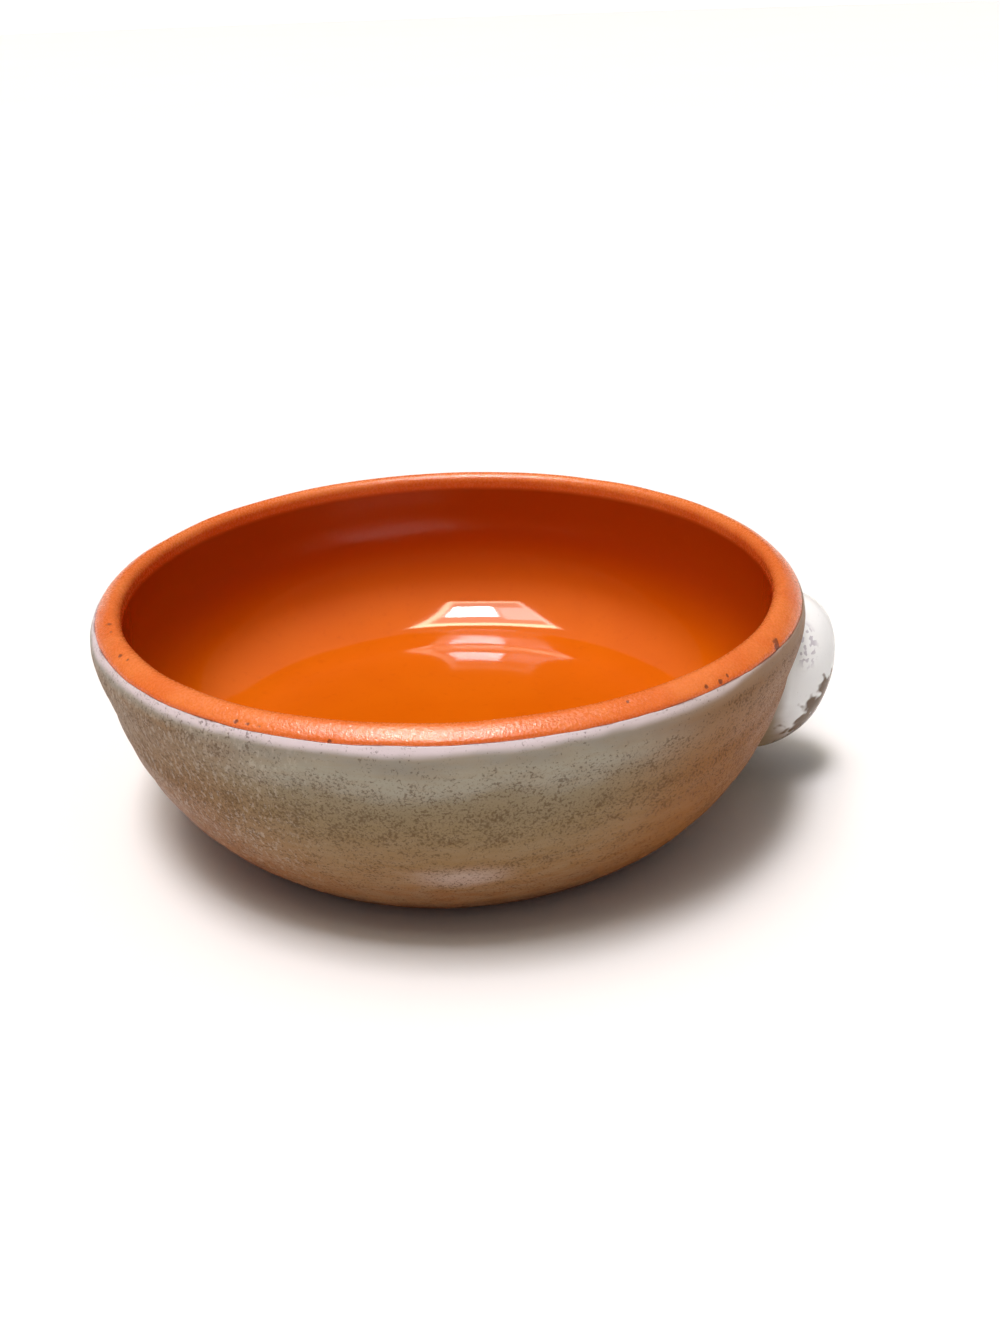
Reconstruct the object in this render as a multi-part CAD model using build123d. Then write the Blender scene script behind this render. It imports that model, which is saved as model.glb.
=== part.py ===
from build123d import *
import math
import os
from collections import namedtuple

# Bowl, in millimetres, measured over the glaze
lip_diameter = 170.0      # widest line of the lip
height = 58.5             # rest plane to the top of the lip
base_diameter = 111.6     # where the curve of the belly meets the rest plane
belly_radius = 60.0       # outer curve of the belly, in section
wall = 5.7                # thickness of the side just under the lip
floor = 15.0              # thickness of the flat floor
corner_round = 22.0       # where the floor turns up into the inside wall
inner_radius = 48.0       # inner curve of the wall, in section
inner_straight = 9.2      # upright stretch of the inside wall, under the lip
foot_round = 2.0          # rounded edge of the bare underside

# Lip, in section
lip_proud = 1.9           # how far the lip stands out past the belly
lip_roll = 7.1            # broad outer shoulder of the lip
lip_edge = 2.2            # small round at the mouth
lip_bead = 3.2            # underside of the lip
neck_hollow = 3.2         # hollow between the lip and the belly

# Glaze
glaze = 0.5               # thickness of both coats
seam_angle = 27.0         # where the coats meet, in degrees up the lip's shoulder from its widest line
glaze_line = 1.5          # height at which the outer coat stops above the rest plane
glaze_pool = 2.0          # fillet of glaze that gathers round the lug

# Lug, measured over the glaze
lug_rise = 8.05           # clear height from the rest plane to the bottom of the lug
lug_drop = 9.15           # clear depth from the top of the lip to the top of the lug
lug_reach = 15.6          # out from the wall
lug_width = 29.0          # round the bowl
slip = 0.8                # layer of slip between the lug and the wall

# An arc of the section. The clay lies on the centre's side of a convex arc (side 1),
# and beyond a hollow arc (side -1). Angles are in degrees, in the plane of radius and height.
Arc = namedtuple("Arc", "centre radius side start end")

touching = 1e-6           # arcs whose ends are closer than this need no line between them


def polar(centre, radius, angle):
    """Point at a distance and direction from a centre of the section."""
    turn = math.radians(angle)
    return (centre[0] + radius * math.cos(turn), centre[1] + radius * math.sin(turn))


def direction(here, there):
    """Direction in degrees from one point of the section to another."""
    return math.degrees(math.atan2(there[1] - here[1], there[0] - here[0]))


def outside_touch(first, first_reach, second, second_reach):
    """Point at the given distances from two centres, on the lower side of the line between them."""
    gap = math.dist(first, second)
    turn = math.acos((first_reach**2 + gap**2 - second_reach**2) / (2 * first_reach * gap))
    return polar(first, first_reach, direction(first, second) - math.degrees(turn))


def edge_centre():
    """Centre of the small round at the mouth."""
    mouth_radius = lip_diameter / 2 - lip_proud - wall
    return (mouth_radius + lip_edge, height - lip_edge)


def outer_arcs():
    """Arcs of the outside, from the rest plane up over the lip's shoulder."""
    lip_radius = lip_diameter / 2
    belly_axis = lip_radius - lip_proud - belly_radius
    belly = (belly_axis, math.sqrt(belly_radius**2 - (base_diameter / 2 - belly_axis) ** 2))
    clay_radius = belly_radius - glaze - foot_round
    foot = (belly_axis + math.sqrt(clay_radius**2 - (belly[1] - foot_round) ** 2), foot_round)
    edge = edge_centre()
    roll_axis = lip_radius - lip_roll
    roll = (roll_axis, edge[1] - math.sqrt((lip_roll - lip_edge) ** 2 - (edge[0] - roll_axis) ** 2))
    bead = (lip_radius - lip_bead, roll[1])
    neck = outside_touch(belly, belly_radius + neck_hollow, bead, lip_bead + neck_hollow)
    return [
        Arc(foot, foot_round + glaze, 1, -90, direction(belly, foot)),
        Arc(belly, belly_radius, 1, direction(belly, foot), direction(belly, neck)),
        Arc(neck, neck_hollow, -1, direction(neck, belly) % 360, direction(neck, bead) % 360),
        Arc(bead, lip_bead, 1, direction(bead, neck), 0),
        Arc(roll, lip_roll, 1, 0, direction(roll, edge)),
    ]


def inner_arcs(lip_turn):
    """Arcs of the inside, from the end of the lip's shoulder down to the edge of the floor."""
    edge = edge_centre()
    side = (edge[0] - lip_edge - inner_radius, edge[1] - inner_straight)
    drop = side[1] - floor - corner_round
    corner = (side[0] + math.sqrt((inner_radius - corner_round) ** 2 - drop**2), side[1] - drop)
    return [
        Arc(edge, lip_edge, 1, lip_turn, 180),
        Arc(side, inner_radius, -1, 0, direction(side, corner)),
        Arc(corner, corner_round, -1, direction(side, corner), -90),
    ]


def run(arcs, depth, to_axis=False):
    """Edges along a run of arcs at a depth below the glazed surface, and on to the bowl's axis if asked."""
    edges = []
    for arc in arcs:
        edge = CenterArc(arc.centre, arc.radius - arc.side * depth, arc.start, arc.end - arc.start)
        if edges and (edges[-1] @ 1 - edge @ 0).length > touching:
            edges.append(Line(edges[-1] @ 1, edge @ 0))
        edges.append(edge)
    if to_axis:
        last = edges[-1] @ 1
        edges.append(Line(last, (0, last.Y)))
    return edges


def turned(edges):
    """Solid of revolution from the edges of a half section."""
    return revolve(Plane.XZ * make_face(edges), Axis.Z)


def coat(arcs, to_axis=False):
    """Layer of glaze along a run of arcs."""
    top = run(arcs, 0, to_axis)
    bottom = run(arcs, glaze, to_axis)
    ends = [Line(top[0] @ 0, bottom[0] @ 0), Line(top[-1] @ 1, bottom[-1] @ 1)]
    return turned(top + bottom + ends)


def filled(arcs, depth):
    """The outside of the bowl as a full body, at a depth below the glazed surface."""
    edges = run(arcs, depth)
    low = edges[0] @ 0
    high = edges[-1] @ 1
    edges.append(Line(low, (0, low.Y)))
    edges.append(Line((0, low.Y), (0, high.Y)))
    edges.append(Line((0, high.Y), high))
    return turned(edges)


def bowl_body(outside, inside):
    """Clay bowl: belly, rolled lip and flat floor, with a flat underside."""
    edges = run(outside + inside, glaze, to_axis=True)
    low = edges[0] @ 0
    high = edges[-1] @ 1
    edges.append(Line(low, (0, low.Y)))
    edges.append(Line((0, low.Y), high))
    return turned(edges)


def lug_form(belly, depth):
    """The lug as a pebble set half into the wall, at a depth below its glazed surface."""
    top = height - lug_drop
    lean = math.degrees(math.asin(((lug_rise + top) / 2 - belly.centre[1]) / belly.radius))
    root = polar(belly.centre, belly.radius, lean)
    out = polar((0, 0), 1, lean)
    half_length = math.sqrt(((top - lug_rise) / 2) ** 2 - (lug_reach * out[1]) ** 2) / out[0]
    plane = Plane(origin=(root[0], 0, root[1]), x_dir=(out[0], 0, out[1]), z_dir=(0, -1, 0))
    ball = Rot(0, 90, 0) * Sphere(1)
    return plane * scale(ball, by=(lug_reach - depth, half_length - depth, lug_width / 2 - depth))


def outer_glaze(outside, wall_face, lug_skin, lug_clay):
    """One coat over the belly and the lug, gathered in a fillet where they meet."""
    belly, neck, bead, roll = outside[1:]
    line_angle = math.degrees(math.asin((glaze_line - belly.centre[1]) / belly.radius))
    wall_coat = coat([belly._replace(start=line_angle), neck, bead, roll._replace(end=seam_angle)])
    lug_coat = lug_skin - wall_face
    whole = wall_coat + lug_coat
    crease = new_edges(wall_coat, lug_coat, combined=whole)
    return fillet(crease, glaze_pool) - lug_clay


def inner_glaze(outside, inside):
    """Liner over the floor, the inside wall and the lip, down to the seam on its shoulder."""
    roll = outside[-1]
    return coat([roll._replace(start=seam_angle)] + inside, to_axis=True)


outside = outer_arcs()
inside = inner_arcs(outside[-1].end)
belly = outside[1]
lug_skin = lug_form(belly, 0)
lug_clay = lug_form(belly, glaze)
wall_face = filled(outside, glaze)
slip_face = filled(outside, glaze - slip)

parts = {
    "bowl_body": bowl_body(outside, inside),
    "lug_handle": lug_clay - slip_face,
    "lug_slip": (lug_clay & slip_face) - wall_face,
    "inner_glaze": inner_glaze(outside, inside),
    "outer_glaze": outer_glaze(outside, wall_face, lug_skin, lug_clay),
}

os.makedirs("parts", exist_ok=True)
for name, solid in parts.items():
    export_step(solid, f"parts/{name}.step")
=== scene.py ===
import math
from collections import namedtuple

import bmesh
import bpy
import numpy as np
from mathutils import Matrix, Vector

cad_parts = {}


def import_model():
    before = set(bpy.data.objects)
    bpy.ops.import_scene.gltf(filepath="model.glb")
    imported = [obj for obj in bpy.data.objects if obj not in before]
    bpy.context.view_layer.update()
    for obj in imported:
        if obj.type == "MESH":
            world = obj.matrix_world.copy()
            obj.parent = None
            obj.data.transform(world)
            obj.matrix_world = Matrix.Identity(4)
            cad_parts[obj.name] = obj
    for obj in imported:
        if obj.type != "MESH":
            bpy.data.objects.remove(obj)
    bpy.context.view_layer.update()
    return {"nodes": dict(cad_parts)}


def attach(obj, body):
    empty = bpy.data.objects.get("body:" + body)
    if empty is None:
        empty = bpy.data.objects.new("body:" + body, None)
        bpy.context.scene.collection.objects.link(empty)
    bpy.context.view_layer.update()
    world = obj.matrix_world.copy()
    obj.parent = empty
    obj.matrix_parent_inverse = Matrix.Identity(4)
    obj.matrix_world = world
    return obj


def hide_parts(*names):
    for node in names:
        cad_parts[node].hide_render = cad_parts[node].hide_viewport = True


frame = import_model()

MM = 0.001
FULL_TURN = 2 * math.pi

# Section of the bowl over its glaze, in millimetres and degrees. The clay lies on the centre's side
# of a convex arc (side 1), and beyond a hollow arc (side -1).
Arc = namedtuple("Arc", "centre radius side start end")
BELLY = Arc((23.1, 50.3062), 60.0, 1, -54.4448, -2.9322)
NECK = Arc((86.2173, 47.0732), 3.2, -1, 177.0678, 133.6456)
BEAD = Arc((81.8, 51.7043), 3.2, 1, -46.3544, 0.0)
ROLL = Arc((77.9, 51.7043), 7.1, 1, 0.0, 69.6998)
EDGE = Arc((79.6, 56.3), 2.2, 1, 69.6998, 180.0)
SIDE = Arc((29.4, 47.1), 48.0, -1, 0.0, -22.859)
CORNER = Arc((53.3581, 37.0), 22.0, -1, -22.859, -90.0)
FLOOR = 15.0
GLAZE = 0.5
EASE = (39.0, BEAD.centre[1])   # heights between which glaze fills the hollow under the lip
LIP_INSIDE = 76.0               # radius past which the liner lies on the lip
SHOULDER = (80.0, 51.7)         # radius and height past which the coat lies on the lip
ON_WALL = 0.2                   # points closer than this to the outer wall lie on it
OFF_LIP = 99.0                  # distance from the seam of points that aren't on the lip
SEAM_RADIUS, FOOT_RADIUS = 85, 60

# Lug: where its middle meets the wall, its lean, its half sizes out, along the wall and round the bowl,
# and the reach of the glaze gathered round it
LUG_ROOT = np.array([79.0748, 0.0, 28.7])
LUG_LEAN = math.radians(-21.1065)
LUG_HALF = np.array([15.6, 21.3, 14.5])
LUG_OUT = np.array([math.cos(LUG_LEAN), 0.0, math.sin(LUG_LEAN)])
LUG_UP = np.array([-math.sin(LUG_LEAN), 0.0, math.cos(LUG_LEAN)])
POOL = 2.8
LUG_EDGE = 3.0                  # distance over which the lug's unevenness gives way to the wall's

# Seam of the two glazes, in degrees up the lip's shoulder, and its dip beside the lug
SEAM = 36.0
SEAM_DIP = 13.0
DIP_AT = math.radians(-12)
DIP_WIDTH = math.radians(28)

# Unevenness in layers: height, wavelength in millimetres and seed
SEAM_WAVES = [(0.9, 70, 11), (0.5, 14, 12), (0.25, 5, 13)]   # in degrees
FOOT_WAVES = [(0.35, 50, 14), (0.12, 9, 15)]                 # in degrees
LINER_WAVES = [(0.025, 34, 21), (0.006, 11, 22)]
LIP_WAVES = [(0.10, 24, 23)]
LIP_RISE = (54.0, 3.0)                                       # where they start, and how fast they grow
COAT_WAVES = [(0.10, 38, 31), (0.03, 9, 32)]
TURNING_WAVES = [(1.6, 60, 33)]                              # sway of the turning rings, in radians
LUG_WAVES = [(0.18, 16, 34)]
TURNING_RINGS = (0.07, 6.8)                                  # height and pitch
TURNING_TOP = (46.0, 7.0)                                    # where they end, and how far below they fade

# Dents: depth and half width
SEAM_GROOVE = (0.22, 0.45)
FOOT_EDGE = (0.30, 0.5)
PIT_DEPTH = 0.25

# Pits and stains on the lip: place and radius
LIP_MARKS = [
    (-77.2, -21.2, 58.4, 0.8), (-76.2, -25.6, 58.4, 0.5), (-71.7, -38.2, 58.0, 0.7),
    (-69.6, -40.9, 58.0, 0.6), (-43.3, -70.5, 56.9, 0.6), (-41.0, -71.9, 56.9, 0.5),
    (-38.6, -73.3, 56.9, 0.45), (-24.3, -79.8, 56.1, 0.5), (34.3, -73.2, 58.2, 0.45),
    (70.2, -45.6, 55.7, 1.5), (70.6, -44.3, 56.5, 1.1), (51.3, -65.2, 56.5, 0.6),
    (54.7, -62.7, 56.4, 0.7), (56.5, -60.7, 56.7, 0.5), (12.0, 80.9, 57.4, 0.6),
    (-48.0, 66.4, 57.6, 0.7), (66.0, 46.0, 57.6, 0.6),
]

# Rings of the meshes
TURNS = 720
TURN = np.arange(TURNS) * FULL_TURN / TURNS
LUG_ROWS = (3, 84)       # rings of the coat that the lug's patch interrupts
LUG_COLUMNS = 34         # points to each side of the lug that it interrupts
PATCH_RINGS = 58
RAY_START = (6, 17)      # depth in the clay and half length of the line that the patch's rays start from
RAY_END = 60
HALVINGS = 36
DOUBLED = 2e-6           # points closer than this, in metres, are joined

# Surroundings, in metres
FLOOR_HALF = 60.0
WALL_AWAY, WALL_TALL, WALL_SIDES = 8.0, 4.5, 96
SKY_COLOUR = (1.0, 0.99, 0.98, 1.0)
SKY_RISE = {"From Min": 0.25, "From Max": 0.95, "To Min": 0.05, "To Max": 0.36}

# Soft lights high above: limits along x and y at a height of one metre, radiance, colour,
# and drop from the common height. The glints show in reflections only.
LIGHT_HEIGHT = 120.0
LIGHT_SKEW = math.radians(8.0)
LIGHTS = [
    ("overhead", (-0.36, 0.08), (-0.54, 0.24), 4.4, (1.0, 0.88, 0.72), 0.0),
    ("overhead_core", (-0.17, 0.02), (-0.355, -0.05), 31.0, (0.97, 0.94, 1.0), 0.5),
    ("overhead_side", (-0.336, -0.195), (-0.33, 0.03), 6.5, (1.0, 0.90, 0.94), 0.5),
]
GLINTS = [
    ("glint_0", (-0.17, 0.02), (-0.355, -0.05), 40.0, (0.97, 0.92, 1.0), 0.6),
    ("glint_1", (-0.36, 0.08), (0.15, 0.24), 16.0, (1.0, 0.84, 0.56), 0.7),
    ("glint_2", (0.045, 0.08), (-0.54, 0.15), 14.0, (1.0, 0.86, 0.60), 0.8),
    ("glint_3", (-0.36, 0.045), (-0.54, -0.48), 8.0, (1.0, 0.80, 0.55), 0.9),
    ("glint_4", (-0.36, -0.336), (-0.48, 0.15), 10.0, (1.0, 0.88, 0.80), 1.0),
]

# Camera: place in metres, pitch, yaw and roll, focal length and frame height in the photograph's pixels
EYE = (0.0, -0.334, 0.1889)
PITCH, YAW, ROLLED = math.radians(25.01), math.radians(2.03), math.radians(-1.98)
FOCAL, FRAME_HEIGHT = 1482.0, 1333.0
SENSOR = 36.0


def waves(points, wavelength, seed, count=12):
    """Smooth unevenness in space, mostly within -1 to 1."""
    rng = np.random.default_rng(seed)
    total = np.zeros(points.shape[:-1])
    for _ in range(count):
        heading = rng.normal(size=3)
        heading *= FULL_TURN * rng.uniform(0.7, 1.4) / (wavelength * np.linalg.norm(heading))
        total += np.sin(points @ heading + rng.uniform(0, FULL_TURN))
    return total / math.sqrt(2 * count)


def uneven(points, layers):
    """Sum of layers of waves, given by height, wavelength and seed."""
    return sum(height * waves(points, wavelength, seed) for height, wavelength, seed in layers)


def ring_uneven(radius, layers):
    """Unevenness round the bowl at a radius, one value for each turn."""
    circle = np.stack([radius * np.cos(TURN), radius * np.sin(TURN), 0 * TURN], -1)
    return uneven(circle, layers)


def dent(gap, depth, width):
    """Depth of a smooth dent at a distance from its middle."""
    return depth * np.exp(-((gap / width) ** 2))


def back(arc):
    """An arc run the other way."""
    return arc._replace(start=arc.end, end=arc.start)


def arc_rings(arc, count, start=None, end=None, depth=0.0, whole=False, ease=1.0):
    """Rings along an arc as radius and height, at a depth below the glaze.

    The last ring is left out unless whole, since the next arc starts with it.
    """
    first = arc.start if start is None else start
    last = arc.end if end is None else end
    share = np.linspace(0, 1, count + 1)[: count + whole, None] ** ease
    angle = np.radians(first + (last - first) * share + 0 * TURN)
    reach = arc.radius - arc.side * depth
    return np.stack([arc.centre[0] + reach * np.cos(angle), arc.centre[1] + reach * np.sin(angle)], -1)


def line_rings(radius, height):
    """Rings along a straight run, given by radius and height."""
    run = np.stack(np.broadcast_arrays(radius, height), -1)
    return run[:, None] + np.zeros((TURNS, 1))


def around(rings):
    """Points in space for rings of radius and height."""
    x = rings[..., 0] * np.cos(TURN)
    y = rings[..., 0] * np.sin(TURN)
    return np.stack([x, y, rings[..., 1]], -1)


def strip_faces(ring, count):
    """Faces between a ring and the next of a closed run of rings."""
    first = ring * TURNS
    second = (ring + 1) % count * TURNS
    here = np.arange(TURNS)
    there = (here + 1) % TURNS
    return np.stack([first + here, first + there, second + there, second + here], -1)


def build_mesh(name, points, faces):
    """Mesh in metres from points in millimetres, with doubled points joined and loose ones dropped."""
    mesh = bpy.data.meshes.new(name)
    mesh.from_pydata((points * MM).tolist(), [], faces.tolist())
    work = bmesh.new()
    work.from_mesh(mesh)
    bmesh.ops.delete(work, geom=[v for v in work.verts if not v.link_faces], context="VERTS")
    bmesh.ops.remove_doubles(work, verts=work.verts, dist=DOUBLED)
    bmesh.ops.recalc_face_normals(work, faces=work.faces)
    work.to_mesh(mesh)
    work.free()
    mesh.shade_smooth()
    return mesh


def points_of(mesh):
    """Points of a mesh in millimetres."""
    points = np.empty(len(mesh.vertices) * 3)
    mesh.vertices.foreach_get("co", points)
    return points.reshape(-1, 3) / MM


def lift(mesh, height):
    """Moves the points of a mesh along their normals, in millimetres."""
    normals = np.empty(len(mesh.vertices) * 3)
    mesh.vertex_normals.foreach_get("vector", normals)
    points = points_of(mesh) + normals.reshape(-1, 3) * height[:, None]
    mesh.vertices.foreach_set("co", (points * MM).ravel())
    mesh.update()


def mark(mesh, name, values):
    """Stores a value for each point, for the material to read."""
    layer = mesh.attributes.new(name, "FLOAT", "POINT")
    layer.data.foreach_set("value", values.astype(np.float32))


def mark_seam(mesh, seam, on_lip):
    """Stores the distance from the seam, which is far for points that aren't on the lip."""
    mark(mesh, "seam", np.where(on_lip, np.abs(seam), OFF_LIP))


def add_piece(name, mesh, node, material):
    """Adds a mesh that stands for a CAD node."""
    piece = bpy.data.objects.new(name, mesh)
    bpy.context.scene.collection.objects.link(piece)
    mesh.materials.append(material)
    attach(piece, "root")
    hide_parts(node)


# Where the two glazes meet wanders up and down a little round the lip
from_dip = (TURN - DIP_AT + math.pi) % FULL_TURN - math.pi
seam_turn = SEAM + ring_uneven(SEAM_RADIUS, SEAM_WAVES) - dent(from_dip, SEAM_DIP, DIP_WIDTH)


def seam_distance(points):
    """Distance in millimetres up the lip from the seam, for points near it."""
    radius = np.hypot(points[:, 0], points[:, 1])
    angle = np.degrees(np.arctan2(points[:, 2] - ROLL.centre[1], radius - ROLL.centre[0]))
    turn = np.arctan2(points[:, 1], points[:, 0]) % FULL_TURN
    here = np.interp(turn, np.append(TURN, FULL_TURN), np.append(seam_turn, seam_turn[0]))
    return np.radians(angle - here) * ROLL.radius


def lip_marks(points):
    """Strength of the marks on the lip, up to 1."""
    total = np.zeros(len(points))
    for x, y, z, size in LIP_MARKS:
        gap = np.linalg.norm(points - (x, y, z), axis=1)
        total = np.maximum(total, dent(gap, 1.0, size))
    return total


def liner_mesh():
    """Orange glaze: from the seam over the lip, down the inside wall and across the floor."""
    upright = np.linspace(EDGE.centre[1], SIDE.centre[1], 12)[:-1]
    flat = np.linspace(CORNER.centre[0], 0, 25)
    face = np.concatenate([
        arc_rings(ROLL, 16, start=seam_turn, ease=1.4),
        arc_rings(EDGE, 12),
        line_rings(SIDE.centre[0] + SIDE.radius, upright),
        arc_rings(SIDE, 18),
        arc_rings(CORNER, 30),
        line_rings(flat, FLOOR),
    ])
    under = np.concatenate([
        line_rings(flat[:0:-6], FLOOR - GLAZE),
        arc_rings(back(CORNER), 8, depth=GLAZE),
        arc_rings(back(SIDE), 4, depth=GLAZE, whole=True),
        arc_rings(back(EDGE), 4, depth=GLAZE),
        arc_rings(back(ROLL), 3, end=seam_turn, depth=GLAZE, whole=True),
    ])
    rings = np.concatenate([face, under])
    at_axis = len(face) - 1
    faces = [strip_faces(ring, len(rings)) for ring in range(len(rings)) if ring != at_axis]
    mesh = build_mesh("orange_liner", around(rings).reshape(-1, 3), np.concatenate(faces))
    points = points_of(mesh)
    seam = seam_distance(points)
    on_lip = np.hypot(points[:, 0], points[:, 1]) > LIP_INSIDE
    pits = lip_marks(points)
    height = uneven(points, LINER_WAVES)
    lip_start, rise = LIP_RISE
    height += uneven(points, LIP_WAVES) * on_lip * np.clip((points[:, 2] - lip_start) / rise, 0, 1)
    height -= dent(seam, *SEAM_GROOVE) * on_lip
    lift(mesh, height - PIT_DEPTH * pits)
    mark_seam(mesh, seam, on_lip)
    mark(mesh, "pits", pits)
    return mesh


def eased_radius(z):
    """Radius of the wall where glaze fills the hollow under the lip, which starts on the belly."""
    low, high = EASE
    rise = BELLY.centre[1] - low
    run = math.sqrt(BELLY.radius**2 - rise**2)
    share = np.clip((z - low) / (high - low), 0, 1)
    start = (1 + 2 * share) * (1 - share) ** 2 * (BELLY.centre[0] + run)
    start = start + share * (1 - share) ** 2 * (high - low) * rise / run
    return start + share**2 * (3 - 2 * share) * (BEAD.centre[0] + BEAD.radius)


def wall_gap(points):
    """Distance of points outside the bowl's outer wall, negative inside it."""
    radius = np.hypot(points[..., 0], points[..., 1])
    z = points[..., 2]
    belly = np.hypot(radius - BELLY.centre[0], z - BELLY.centre[1]) - BELLY.radius
    return np.where(z < EASE[0], belly, radius - eased_radius(z))


def lug_space(points):
    """Place of points along the lug's own axes: out, up the wall and round the bowl."""
    offset = points - LUG_ROOT
    return np.stack([offset @ LUG_OUT, offset @ LUG_UP, offset[..., 1]], -1)


def lug_gap(points):
    """Distance of points outside the lug, about."""
    place = lug_space(points)
    share = np.linalg.norm(place / LUG_HALF, axis=-1)
    return share * (share - 1) / np.maximum(np.linalg.norm(place / LUG_HALF**2, axis=-1), 1e-9)


def coat_gap(points):
    """Distance of points outside the wall and lug together, with glaze gathered where they meet."""
    wall = wall_gap(points)
    lug = lug_gap(points)
    blend = np.clip(POOL - np.abs(wall - lug), 0, None) / POOL
    return np.minimum(wall, lug) - blend**2 * POOL / 4


def lug_patch(border):
    """Points from the crest of the lug out to a border on the wall, along rays from inside the clay."""
    depth, half = RAY_START
    along = np.clip(lug_space(border)[:, 1], -half, half)
    start = LUG_ROOT - depth * LUG_OUT + along[:, None] * LUG_UP
    end = border - start
    end /= np.linalg.norm(end, axis=-1, keepdims=True)
    spread = np.arccos(np.clip(end @ LUG_OUT, -1, 1))
    share = (np.arange(PATCH_RINGS) / PATCH_RINGS)[:, None]
    heading = np.sin((1 - share) * spread)[..., None] * LUG_OUT + np.sin(share * spread)[..., None] * end
    heading /= np.linalg.norm(heading, axis=-1, keepdims=True)
    near = np.zeros(heading.shape[:2])
    far = near + RAY_END
    for _ in range(HALVINGS):
        middle = (near + far) / 2
        inside = coat_gap(start + heading * middle[..., None]) < 0
        near = np.where(inside, middle, near)
        far = np.where(inside, far, middle)
    return start + heading * near[..., None]


def coat_mesh():
    """Cream glaze: up the belly from a line above the foot to the seam, and over the lug."""
    line = BELLY.start + ring_uneven(FOOT_RADIUS, FOOT_WAVES)
    face = np.concatenate([
        arc_rings(BELLY, 72, start=line),
        arc_rings(NECK, 6),
        arc_rings(BEAD, 6),
        arc_rings(ROLL, 12, end=seam_turn, whole=True, ease=0.75),
    ])
    under_lip = (face[..., 1] > EASE[0]) & (face[..., 1] < EASE[1])
    face[..., 0] = np.where(under_lip, eased_radius(face[..., 1]), face[..., 0])
    under = np.concatenate([
        arc_rings(back(ROLL), 2, start=seam_turn, depth=GLAZE),
        arc_rings(back(BEAD), 3, depth=GLAZE),
        arc_rings(back(NECK), 3, depth=GLAZE),
        arc_rings(back(BELLY), 14, end=line, depth=GLAZE, whole=True),
    ])
    rings = np.concatenate([face, under])
    points = around(rings).reshape(-1, 3)

    # The face is left open round the lug, and the patch is sewn to the border of that opening
    low, high = LUG_ROWS
    faces = []
    for ring in range(len(rings)):
        strip = strip_faces(ring, len(rings))
        faces.append(strip[LUG_COLUMNS:-LUG_COLUMNS] if low <= ring < high else strip)
    columns = np.arange(-LUG_COLUMNS, LUG_COLUMNS + 1) % TURNS
    rows = np.arange(low, high + 1) * TURNS
    border = np.concatenate([
        rows[0] + columns[:-1],
        rows[:-1] + columns[-1],
        rows[-1] + columns[:0:-1],
        rows[:0:-1] + columns[0],
    ])
    patch = lug_patch(points[border]).reshape(-1, 3)
    inner = len(points) + np.arange(len(patch)).reshape(PATCH_RINGS, -1)
    grid = np.concatenate([inner, border[None]])
    ahead = np.roll(grid, -1, axis=1)
    faces.append(np.stack([grid[:-1], ahead[:-1], ahead[1:], grid[1:]], -1).reshape(-1, 4))
    mesh = build_mesh("cream_coat", np.concatenate([points, patch]), np.concatenate(faces))

    points = points_of(mesh)
    z = points[:, 2]
    off_lug = np.clip(lug_gap(points) / LUG_EDGE, 0, 1)
    seam = seam_distance(points)
    foot = z - (BELLY.centre[1] + BELLY.radius * math.sin(math.radians(BELLY.start)))
    outer = np.abs(wall_gap(points)) < ON_WALL
    on_lip = (z > SHOULDER[1]) & (np.hypot(points[:, 0], points[:, 1]) > SHOULDER[0])
    ring_height, pitch = TURNING_RINGS
    ring_top, fade = TURNING_TOP
    height = uneven(points, COAT_WAVES)
    turning = np.sin(FULL_TURN * z / pitch + uneven(points, TURNING_WAVES))
    height += ring_height * off_lug * turning * np.clip((ring_top - z) / fade, 0, 1)
    height += (1 - off_lug) * uneven(points, LUG_WAVES)
    height -= dent(seam, *SEAM_GROOVE) * on_lip
    height -= dent(foot, *FOOT_EDGE) * outer
    lift(mesh, height * (outer | (off_lug < 1)))
    mark_seam(mesh, seam, on_lip)
    return mesh


def srgb(red, green, blue):
    """Linear colour from 0 to 255 display values."""
    linear = []
    for value in (red, green, blue):
        share = value / 255
        linear.append(share / 12.92 if share <= 0.04045 else ((share + 0.055) / 1.055) ** 2.4)
    return (*linear, 1.0)


# Colours of the orange glaze
ORANGE = srgb(212, 97, 4)
ORANGE_LIGHT = srgb(217, 102, 5)
ORANGE_WALL_SHADE = srgb(164, 54, 2)
ORANGE_CLOUD = srgb(182, 68, 3)
LIP_LIGHT = srgb(238, 128, 60)
LIP_DARK = srgb(232, 116, 48)
LIP_LOW_SHADE = srgb(214, 92, 40)
LIP_STAIN = srgb(104, 44, 20)
SEAM_LINE = srgb(120, 48, 26)

# Colours of the cream glaze, the first of them by height in metres. These paint shade on the belly: darker
# than the glaze, and browner low down.
BELLY_SHADE_COLOURS = [
    (0.0, srgb(144, 88, 46)), (0.012, srgb(141, 94, 54)), (0.024, srgb(146, 112, 73)),
    (0.036, srgb(146, 124, 90)), (0.043, srgb(146, 132, 106)), (0.051, srgb(150, 143, 130)),
]
FRONT_LIT_RING = srgb(170, 163, 146)
STREAK = srgb(160, 140, 112)
WARM_BOUNCE_TINT = srgb(250, 210, 172)
LUG_SIDE_SHADE = srgb(150, 93, 34)
PAINTED_GLEAM = srgb(206, 186, 178)
BAND_LIT_LEFT = srgb(219, 205, 208)
BAND_SHADED_RIGHT = srgb(206, 190, 186)
LUG_WHITE = srgb(250, 252, 253)
LUG_BRIGHT = srgb(253, 255, 255)
LUG_FAR_SHADE = srgb(240, 239, 235)
LUG_UNDER_SHADE = srgb(132, 100, 64)
LUG_FOOT_SHADE = srgb(150, 130, 102)
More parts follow.
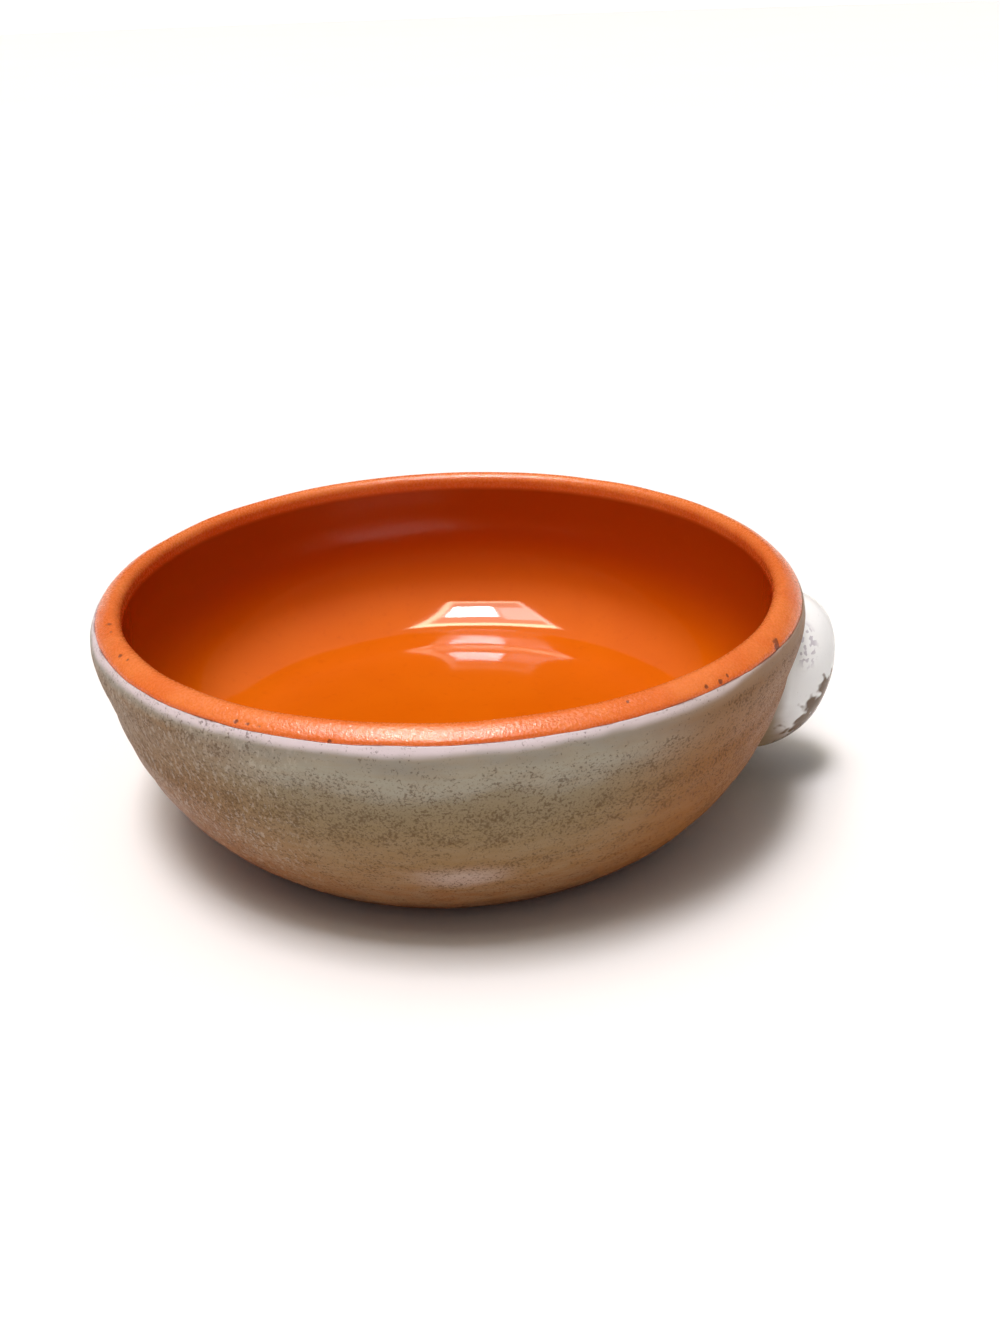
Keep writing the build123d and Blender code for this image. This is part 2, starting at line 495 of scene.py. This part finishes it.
LUG_CREASE = srgb(224, 206, 176)
LUG_SPOT = srgb(150, 138, 158)
LUG_WORN = srgb(100, 71, 40)
PALE_FLECK = srgb(210, 197, 180)
SPECK = srgb(80, 54, 34)

# Share of specks by height in metres, all round the belly and on its left
SPECK_BANDS = [
    (0.0, 0.36), (0.016, 0.50), (0.0225, 0.52), (0.0245, 0.64), (0.0270, 0.36),
    (0.0300, 0.52), (0.0330, 0.74), (0.0385, 0.76), (0.0415, 0.58), (0.045, 0.64),
    (0.0485, 0.52), (0.0505, 0.26), (0.0535, 0.12),
]
LEFT_SPECKS = [(0.0, 0.2), (0.018, 0.42), (0.025, 0.62), (0.051, 0.66), (0.0545, 0.42)]
RAMP_TOP = 0.060

# Colours of the bare clay, light and dark, with its grog and pores, and of the paper
CLAY = (srgb(186, 112, 76), srgb(166, 94, 62))
SLIP = (srgb(172, 104, 72), srgb(156, 90, 62))
GROG = srgb(206, 158, 126)
PORE = srgb(84, 46, 30)
PAPER = (srgb(246, 246, 245), srgb(249, 249, 248))
WHITE = (1.0, 1.0, 1.0, 1.0)


class Graph:
    """A material's nodes, added by short calls. Places are in metres."""

    def __init__(self, name):
        self.material = bpy.data.materials.new(name)
        self.material.use_nodes = True
        self.tree = self.material.node_tree
        self.tree.nodes.clear()
        self.shader = self.tree.nodes.new("ShaderNodeBsdfPrincipled")
        output = self.tree.nodes.new("ShaderNodeOutputMaterial")
        self.tree.links.new(self.shader.outputs["BSDF"], output.inputs["Surface"])
        self.place = self.tree.nodes.new("ShaderNodeTexCoord").outputs["Object"]
        self.x, self.y, self.z = self.node("ShaderNodeSeparateXYZ", Vector=self.place).outputs

    def put(self, socket, value):
        """Links a socket to another, or sets its value."""
        if isinstance(value, bpy.types.NodeSocket):
            self.tree.links.new(value, socket)
        else:
            socket.default_value = value

    def surface(self, name, value):
        """Sets an input of the shader."""
        self.put(self.shader.inputs[name], value)

    def node(self, kind, settings=None, **inputs):
        """Adds a node. An underscore in an input's name stands for a space."""
        node = self.tree.nodes.new(kind)
        for key, value in (settings or {}).items():
            setattr(node, key, value)
        for key, value in inputs.items():
            self.put(node.inputs[key.replace("_", " ")], value)
        return node

    def math(self, operation, *values):
        """Adds a node that works on one or two values."""
        node = self.node("ShaderNodeMath", {"operation": operation})
        for socket, value in zip(node.inputs, values):
            self.put(socket, value)
        return node.outputs[0]

    def vector(self, operation, *values):
        """Adds a node that works on one or two vectors."""
        node = self.node("ShaderNodeVectorMath", {"operation": operation})
        for socket, value in zip(node.inputs, values):
            self.put(socket, value)
        return node.outputs

    def times(self, first, *others):
        """Product of values."""
        for value in others:
            first = self.math("MULTIPLY", first, value)
        return first

    def plus(self, first, *others):
        """Sum of values."""
        for value in others:
            first = self.math("ADD", first, value)
        return first

    def less(self, first, *others):
        """First value less the others."""
        for value in others:
            first = self.math("SUBTRACT", first, value)
        return first

    def most(self, first, *others):
        """Largest of values."""
        for value in others:
            first = self.math("MAXIMUM", first, value)
        return first

    def radius(self):
        """Distance from the bowl's axis."""
        return self.math("SQRT", self.plus(self.times(self.x, self.x), self.times(self.y, self.y)))

    def noise(self, scale, detail=2.0, roughness=0.5, stretch=None):
        """Noise in space, with scale in features for each metre."""
        where = self.vector("MULTIPLY", self.place, stretch)[0] if stretch else self.place
        made = self.node("ShaderNodeTexNoise", Vector=where, Scale=scale, Detail=detail, Roughness=roughness)
        return made.outputs[0]

    def centred(self, noise, share=1.0):
        """Noise moved to lie round 0, and scaled."""
        return self.times(self.less(noise, 0.5), share)

    def step(self, value, low, high, first=0.0, last=1.0):
        """Smooth step of a value between two limits."""
        made = self.node("ShaderNodeMapRange", {"interpolation_type": "SMOOTHSTEP"}, Value=value,
                         From_Min=low, From_Max=high, To_Min=first, To_Max=last)
        return made.outputs[0]

    def axes(self, place, centre, size, turn=(0.0, 0.0, 0.0)):
        """Place along turned axes from a centre, in shares of a size along each."""
        made = self.node("ShaderNodeMapping", {"vector_type": "TEXTURE"}, Vector=place, Location=centre,
                         Rotation=turn, Scale=size)
        return made.outputs[0]

    def length(self, place):
        """Length of a vector."""
        return self.vector("LENGTH", place)["Value"]

    def mix(self, share, first, second, blend="MIX"):
        """Mixture of two colours."""
        node = self.node("ShaderNodeMix", {"data_type": "RGBA", "blend_type": blend})
        self.put(node.inputs[0], share)
        self.put(node.inputs[6], first)
        self.put(node.inputs[7], second)
        return node.outputs[2]

    def ramp(self, height, stops):
        """Colours along a height from 0 to the ramp's top."""
        node = self.tree.nodes.new("ShaderNodeValToRGB")
        self.put(node.inputs[0], self.math("DIVIDE", height, RAMP_TOP))
        colours = node.color_ramp.elements
        while len(colours) < len(stops):
            colours.new(1.0)
        for place, (at, colour) in zip(colours, stops):
            place.position = at / RAMP_TOP
            place.color = colour
        return node.outputs[0]

    def shares(self, height, stops):
        """Plain shares along a height from 0 to the ramp's top."""
        return self.ramp(height, [(at, (share, share, share, 1.0)) for at, share in stops])

    def stored(self, name):
        """Value stored on the mesh."""
        return self.node("ShaderNodeAttribute", {"attribute_name": name}).outputs["Fac"]

    def broken_line(self, seam, start, end):
        """Thin line along the seam, broken here and there."""
        near = self.step(seam, start, end, 1.0, 0.0)
        return self.times(near, self.step(self.noise(110, 4, 0.6), 0.46, 0.60))

    def bump(self, height, depth):
        """Small relief, with its depth in metres."""
        made = self.node("ShaderNodeBump", Height=height, Distance=depth, Strength=1.0)
        self.surface("Normal", made.outputs[0])


def orange_glaze():
    """Glossy orange inside, satin and worn on the lip."""
    g = Graph("orange_glaze")
    broad = g.noise(28, 3)
    colour = g.mix(g.step(broad, 0.35, 0.7), ORANGE, ORANGE_LIGHT)
    # Painted shade: the glaze is drawn darker and redder up the inside wall
    colour = g.mix(g.step(g.z, 0.017, 0.043), colour, ORANGE_WALL_SHADE)
    colour = g.mix(g.step(g.noise(420, 3, 0.6), 0.55, 0.8, 0.0, 0.2), colour, ORANGE_CLOUD)

    # Lip, darker towards the seam where its roll turns down, as painted shade, with stains, ragged pits and
    # a broken line where the glazes meet
    lip = g.times(g.step(g.z, 0.0537, 0.0553), g.step(g.radius(), 0.0768, 0.0774))
    worn = g.mix(g.step(g.noise(60, 4, 0.6), 0.40, 0.62), LIP_LIGHT, LIP_DARK)
    colour = g.mix(g.times(lip, 0.95), colour, worn)
    seam = g.stored("seam")
    colour = g.mix(g.step(seam, 0.3, 1.6, 0.45, 0.0), colour, LIP_LOW_SHADE)
    stain = g.times(g.step(g.noise(330, 4, 0.65), 0.69, 0.75), lip)
    ragged = g.plus(g.stored("pits"), g.centred(g.noise(900, 3, 0.6), 1.3))
    stain = g.most(g.times(stain, 0.5), g.step(ragged, 0.36, 0.66, 0.0, 0.8))
    colour = g.mix(stain, colour, LIP_STAIN)
    line = g.broken_line(seam, 0.05, 0.45)
    colour = g.mix(g.times(line, 0.5), colour, SEAM_LINE)
    g.surface("Base Color", colour)

    # Mirror gloss on the floor, softer up the wall, patchy on the lip
    rough = g.plus(g.step(broad, 0.3, 0.7, 0.05, 0.08), g.step(g.z, 0.026, 0.038, 0.0, 0.08))
    patchy = g.step(g.noise(1700, 2, 0.6), 0.42, 0.60, 0.20, -0.05)
    rough = g.plus(rough, g.times(lip, patchy), g.times(g.plus(stain, line), 0.2))
    g.surface("Roughness", rough)
    grain = g.times(g.noise(1500, 3, 0.65), lip, 4.0)
    g.bump(g.plus(g.times(g.noise(90, 2), 0.3), grain), 0.00004)
    return g.material


def cream_glaze():
    """Speckled glaze outside, nearly white on the lug and along the lip, with painted shade that darkens the
    belly and browns it towards the foot.
    """
    g = Graph("cream_glaze")
    lug_size = tuple(LUG_HALF[[0, 2, 1]] * MM)
    lug_place = g.axes(g.place, tuple(LUG_ROOT * MM), lug_size, (0.0, -LUG_LEAN, 0.0))
    out, across, up = g.node("ShaderNodeSeparateXYZ", Vector=lug_place).outputs
    reach = g.length(lug_place)
    lug = g.step(reach, 1.03, 1.12, 1.0, 0.0)
    radius = g.radius()
    east = g.math("DIVIDE", g.x, radius)
    north = g.math("DIVIDE", g.y, radius)
    broad = g.noise(40, 3, 0.55, stretch=(1, 1, 2.2))
    streak = g.noise(160, 3, 0.6, stretch=(1, 1, 4.0))
    sway = g.less(broad, 0.5)

    # Body of the glaze, with painted light and shade: greyer at the front and under the lip, browner at the
    # sides and low down
    level = g.plus(g.z, g.times(sway, 0.012))
    colour = g.ramp(level, BELLY_SHADE_COLOURS)
    # Painted light: a lighter grey ring high on the front of the belly
    ring = g.times(g.step(level, 0.0415, 0.0475), g.step(level, 0.0530, 0.0485), g.step(north, -0.74, -0.95))
    colour = g.mix(ring, colour, FRONT_LIT_RING)
    colour = g.mix(g.step(streak, 0.35, 0.7, 0.0, 0.3), colour, STREAK)
    # Painted light: a warm tint of light bounced from below, everywhere but the front, below the lip
    warm_bounce = g.step(g.plus(north, g.times(sway, 0.25)), -0.97, -0.70)
    warm_bounce = g.times(warm_bounce, g.step(g.z, 0.0542, 0.0515, 0.0, 0.85))
    colour = g.mix(warm_bounce, colour, WARM_BOUNCE_TINT, "MULTIPLY")
    # Painted shade: browner on the belly beside the lug, on its front side, most of all low down
    near = g.times(g.step(east, 0.25, 0.80), g.step(north, -0.05, -0.25))
    near = g.times(near, g.step(g.z, 0.0565, 0.0545), g.step(g.z, 0.0520, 0.0360, 0.5, 0.9))
    colour = g.mix(near, colour, LUG_SIDE_SHADE)

    # Painted reflection: a pale gleam low at the front. Then the pale band that ends at the seam
    gleam = g.length(g.axes(g.place, (0.000, -0.0756, 0.0205), (0.013, 0.02, 0.0042)))
    colour = g.mix(g.step(g.plus(gleam, sway), 0.2, 1.2, 0.45, 0.0), colour, PAINTED_GLEAM)
    # Painted light and shade on the pale band: lighter on the left, narrower and darker on the right
    edge = g.less(g.plus(g.z, g.times(sway, 0.003)), g.step(east, 0.35, 0.85, 0.0, 0.0007))
    pale = g.mix(g.step(east, 0.2, 0.8), BAND_LIT_LEFT, BAND_SHADED_RIGHT)
    colour = g.mix(g.step(edge, 0.0534, 0.0553), colour, pale)

    # Lug: nearly white, with painted shade on its far side, underneath and where it meets the wall,
    # with a mottled spot, and a pale line of pooled glaze round it
    colour = g.mix(g.step(reach, 1.30, 1.16), colour, LUG_CREASE)
    white = g.mix(g.step(broad, 0.3, 0.7), LUG_WHITE, LUG_BRIGHT)
    # Painted shade: greyer on the lug's far side
    white = g.mix(g.step(across, -0.35, 0.15), white, LUG_FAR_SHADE)
    # Painted shade: browner underneath the lug
    white = g.mix(g.step(g.plus(up, sway), -0.05, -0.85), white, LUG_UNDER_SHADE)
    # Painted shade: darker where the lug meets the wall, most of all low down
    white = g.mix(g.step(g.plus(out, g.times(up, 0.35)), 0.20, -0.10, 0.0, 0.9), white, LUG_FOOT_SHADE)
    spot = g.length(g.axes(g.place, (0.0853, -0.0110, 0.0403), (0.004, 0.004, 0.0083)))
    mottle = g.times(g.step(g.noise(800, 1, 0.5), 0.52, 0.60), g.step(spot, 1.1, 0.5, 0.0, 0.5))
    white = g.mix(mottle, white, LUG_SPOT)
    colour = g.mix(lug, colour, white)

    # Specks in bands round the belly, closer on the left and near the lug, with pale flecks on the left
    band = g.shares(g.plus(g.z, g.times(sway, 0.006)), SPECK_BANDS)
    left = g.step(g.plus(east, g.times(sway, 0.4)), -0.25, -0.58)
    left = g.times(left, g.shares(g.z, LEFT_SPECKS))
    right = g.times(g.step(east, 0.45, 0.75), g.step(g.z, 0.0540, 0.0515, 0.0, 0.74))
    cover = g.less(g.most(band, left, right), lug)
    limit = g.less(0.68, g.times(cover, 0.20), g.centred(g.noise(260, 2, 0.5), 0.25))
    speck = g.step(g.less(g.noise(1600, 3, 0.6), limit), -0.03, 0.07)
    dust = g.step(g.less(g.noise(2600, 2, 0.6), limit), 0.0, 0.08, 0.0, 0.5)
    speck = g.most(speck, dust)
    fleck = g.step(g.noise(1000, 3, 0.6, stretch=(1, 1, 0.5)), 0.52, 0.64, 0.0, 0.54)
    colour = g.mix(g.times(fleck, left), colour, PALE_FLECK)
    colour = g.mix(g.times(speck, 0.56), colour, SPECK)

    # Glaze worn brown on the lower crest of the lug, and the broken line along the seam
    worn = g.length(g.axes(lug_place, (0.60, -0.36, -0.20), (9.0, 0.47, 0.50)))
    ragged = g.plus(worn, g.centred(g.noise(360, 1, 0.5), 1.1))
    colour = g.mix(g.times(g.step(ragged, 0.86, 1.08, 0.92, 0.0), lug), colour, LUG_WORN)
    line = g.broken_line(g.stored("seam"), 0.0, 0.35)
    colour = g.mix(g.times(line, 0.5), colour, SEAM_LINE)
    g.surface("Base Color", colour)

    # Satin, duller on the specks and glossier on the lug
    rough = g.plus(g.step(broad, 0.3, 0.7, 0.34, 0.44), g.times(speck, 0.14))
    g.surface("Roughness", g.less(rough, g.times(lug, 0.24)))
    g.surface("Specular IOR Level", 0.08)
    g.bump(g.less(g.noise(420, 3, 0.55), g.times(speck, 0.5)), 0.00009)
    return g.material


def bare_clay(name, light, dark):
    """Unglazed fired clay with pores, grog and faint turning rings."""
    g = Graph(name)
    broad = g.noise(40, 4, 0.6)
    grain = g.noise(1400, 4, 0.7)
    colour = g.mix(g.step(broad, 0.3, 0.7), light, dark)
    colour = g.mix(g.step(g.noise(900, 2), 0.64, 0.70, 0.0, 0.5), colour, GROG)
    pore = g.step(g.noise(1100, 2, 0.6, stretch=(1, 1.2, 1)), 0.36, 0.29)
    colour = g.mix(g.times(pore, 0.7), colour, PORE)
    g.surface("Base Color", colour)
    g.surface("Roughness", g.step(grain, 0.3, 0.7, 0.78, 0.95))
    turned = g.math("SINE", g.plus(g.times(g.radius(), 2600.0), g.times(broad, 5.0)))
    g.bump(g.plus(g.less(grain, pore), g.times(turned, 0.35)), 0.00012)
    return g.material


def paper(name, glow):
    """Plain pale paper, which may be lit from behind."""
    g = Graph(name)
    g.surface("Emission Color", WHITE)
    g.surface("Emission Strength", glow)
    g.surface("Base Color", g.mix(g.noise(3, 2), *PAPER))
    g.surface("Roughness", 0.9)
    return g.material


def set_material(node, material):
    """Gives a CAD node's object a material in place of its plain one."""
    mesh = frame["nodes"][node].data
    if not mesh.materials:
        mesh.materials.append(material)
    for place in range(len(mesh.materials)):
        mesh.materials[place] = material


def staged(name, points, faces, material):
    """Adds a piece of the plain surroundings."""
    mesh = bpy.data.meshes.new(name)
    mesh.from_pydata(points, [], faces)
    mesh.materials.append(material)
    piece = bpy.data.objects.new(name, mesh)
    bpy.context.scene.collection.objects.link(piece)
    return piece


def backdrop():
    """Wide plain floor, and a far wall of the same paper that adds no light, shade or reflection."""
    corners = [(-1, -1), (1, -1), (1, 1), (-1, 1)]
    points = [(FLOOR_HALF * x, FLOOR_HALF * y, 0) for x, y in corners]
    staged("floor", points, [(0, 1, 2, 3)], paper("paper", 0.0))
    points = []
    for side in range(WALL_SIDES):
        turn = FULL_TURN * side / WALL_SIDES
        points += [(WALL_AWAY * math.cos(turn), WALL_AWAY * math.sin(turn), z) for z in (0.0, WALL_TALL)]
    count = len(points)
    faces = [(low, (low + 2) % count, (low + 3) % count, low + 1) for low in range(0, count, 2)]
    wall = staged("far_wall", points, faces, paper("lit_paper", 1.0))
    wall.visible_diffuse = wall.visible_glossy = wall.visible_shadow = False


def overhead(name, x, y, radiance, colour, drop):
    """Rectangular soft light high above, from its limits at a height of one metre along the skewed axes."""
    height = LIGHT_HEIGHT - drop
    width = height * (x[1] - x[0])
    length = height * (y[1] - y[0])
    data = bpy.data.lights.new(name, "AREA")
    data.shape = "RECTANGLE"
    data.size = width
    data.size_y = length
    data.energy = radiance * math.pi * width * length
    data.color = colour
    light = bpy.data.objects.new(name, data)
    bpy.context.scene.collection.objects.link(light)
    middle = Matrix.Translation((height * sum(x) / 2, height * sum(y) / 2, height))
    light.matrix_world = Matrix.Rotation(-LIGHT_SKEW, 4, "Z") @ middle
    return light


def world():
    """Soft light from all round, brighter overhead."""
    made = bpy.data.worlds.new("surroundings")
    made.use_nodes = True
    nodes = made.node_tree.nodes
    links = made.node_tree.links
    sky = nodes["Background"]
    sky.inputs["Color"].default_value = SKY_COLOUR
    axes = nodes.new("ShaderNodeSeparateXYZ")
    links.new(nodes.new("ShaderNodeTexCoord").outputs["Generated"], axes.inputs[0])
    rise = nodes.new("ShaderNodeMapRange")
    rise.interpolation_type = "SMOOTHSTEP"
    for socket, value in SKY_RISE.items():
        rise.inputs[socket].default_value = value
    links.new(axes.outputs["Z"], rise.inputs["Value"])
    links.new(rise.outputs[0], sky.inputs["Strength"])
    bpy.context.scene.world = made


def camera():
    """Camera where the photograph was taken from."""
    ahead = Vector((math.sin(YAW) * math.cos(PITCH), math.cos(YAW) * math.cos(PITCH), -math.sin(PITCH)))
    level = Vector((math.cos(YAW), -math.sin(YAW), 0.0))
    upright = level.cross(ahead)
    right = level * math.cos(ROLLED) + upright * math.sin(ROLLED)
    up = upright * math.cos(ROLLED) - level * math.sin(ROLLED)
    data = bpy.data.cameras.new("camera")
    data.sensor_width = SENSOR
    data.lens = FOCAL * SENSOR / FRAME_HEIGHT
    seen = bpy.data.objects.new("camera", data)
    turn = Matrix((right, up, -ahead)).transposed().to_4x4()
    seen.matrix_world = Matrix.Translation(EYE) @ turn
    bpy.context.scene.collection.objects.link(seen)
    bpy.context.scene.camera = seen


clay = bare_clay("fired_clay", *CLAY)
slip = bare_clay("fired_slip", *SLIP)
set_material("bowl_body", clay)
set_material("lug_handle", clay)
set_material("lug_slip", slip)
add_piece("orange_liner", liner_mesh(), "inner_glaze", orange_glaze())
add_piece("cream_coat", coat_mesh(), "outer_glaze", cream_glaze())
backdrop()
for light in LIGHTS:
    overhead(*light)
for glint in GLINTS:
    overhead(*glint).visible_diffuse = False
world()
camera()
bpy.context.scene.view_settings.view_transform = "Standard"
